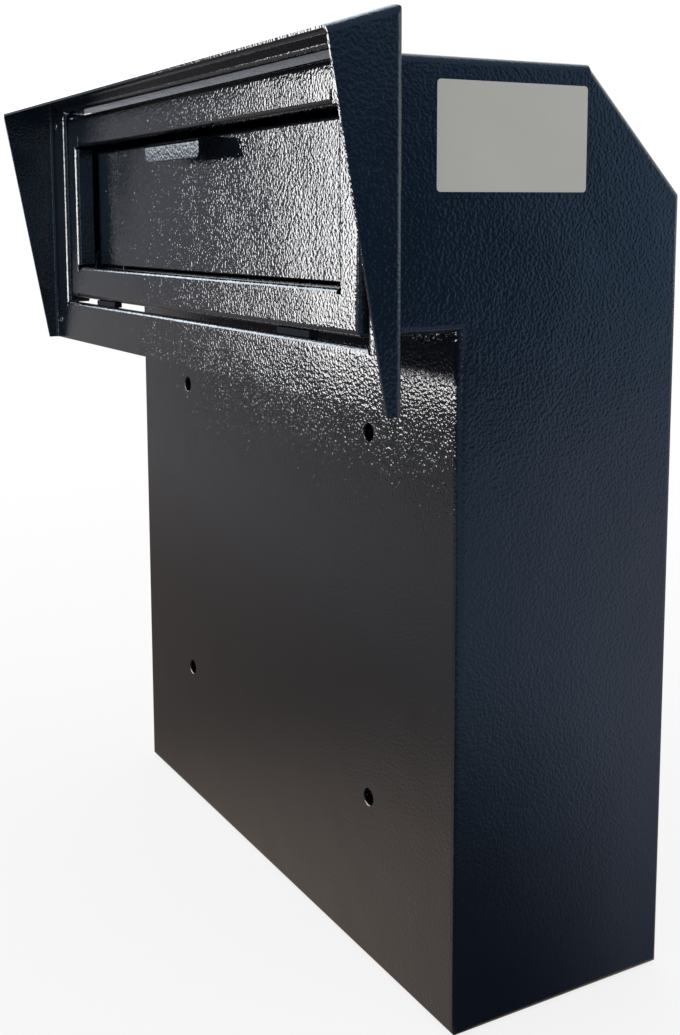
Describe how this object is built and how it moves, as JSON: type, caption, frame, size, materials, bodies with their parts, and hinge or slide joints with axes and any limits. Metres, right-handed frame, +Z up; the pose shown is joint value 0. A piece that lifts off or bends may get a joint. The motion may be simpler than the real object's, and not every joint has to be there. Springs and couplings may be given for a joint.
{
  "type": "key drop box",
  "caption": "Through-door key drop box: a steel box with a flap-covered chute, a hooded faceplate for the door's outside and a locked rear door.",
  "frame": {"origin": "centre of the four door bolt holes, on the outer face of the box's front wall, which lies against the door leaf", "axes": "+X to the right as seen from outside the door, -Y out of the door towards the person who drops keys, +Z up"},
  "size_m": [0.386, 0.1978, 0.4168],
  "materials": {
    "powder_coat": "glossy dark brown-black powder coat with a fine pebbled texture",
    "zinc_plate": "bright zinc plating, satin",
    "spring_steel": "dark spring steel, satin",
    "bumper_rubber": "matt black rubber",
    "lock_chrome": "polished chrome plating",
    "lock_brass": "machined brass, satin"
  },
  "bodies": {
    "housing": {"front_panel": "powder_coat", "side_left": "powder_coat", "side_right": "powder_coat", "top_panel": "powder_coat", "bottom_panel": "powder_coat", "chute_floor": "powder_coat", "chute_frame": "powder_coat", "anti_fishing_ramp": "powder_coat", "strike_angle": "powder_coat", "faceplate": "powder_coat", "rain_hood": "powder_coat", "locating_lugs": "powder_coat", "flap_stops": "powder_coat", "flap_bumpers": "bumper_rubber", "flap_rod": "zinc_plate", "rod_brackets": "powder_coat", "rod_clips": "spring_steel", "flap_springs": "spring_steel", "hinge_leaves_body": "zinc_plate", "hinge_pins": "zinc_plate"},
    "flap": {"deposit_flap": "powder_coat", "flap_pull": "powder_coat"},
    "door": {"rear_door": "powder_coat", "hinge_leaves_door": "zinc_plate", "lock_housing": "lock_chrome", "lock_nut": "zinc_plate"},
    "lock": {"lock_plug": "lock_brass", "lock_cam": "zinc_plate", "lock_cam_screw": "zinc_plate"}
  },
  "joints": [
    {"name": "flap_hinge", "type": "hinge", "parent": "housing", "child": "flap", "pos_m": [0, -0.0281, 0.156], "axis": [1, 0, 0], "range_deg": [0, 68], "stiffness_Nm_per_rad": 0.12, "springref_deg": -34.38, "deforming": ["flap_springs"]},
    {"name": "rear_door_hinge", "type": "hinge", "parent": "housing", "child": "door", "pos_m": [-0.14625, 0.11905, 0.0115], "axis": [0, 0, 1], "range_deg": [0, 120]},
    {"name": "lock_turn", "type": "hinge", "parent": "door", "child": "lock", "pos_m": [0.118, 0.116, 0.0115], "axis": [0, -1, 0], "range_deg": [0, 90]}
  ]
}
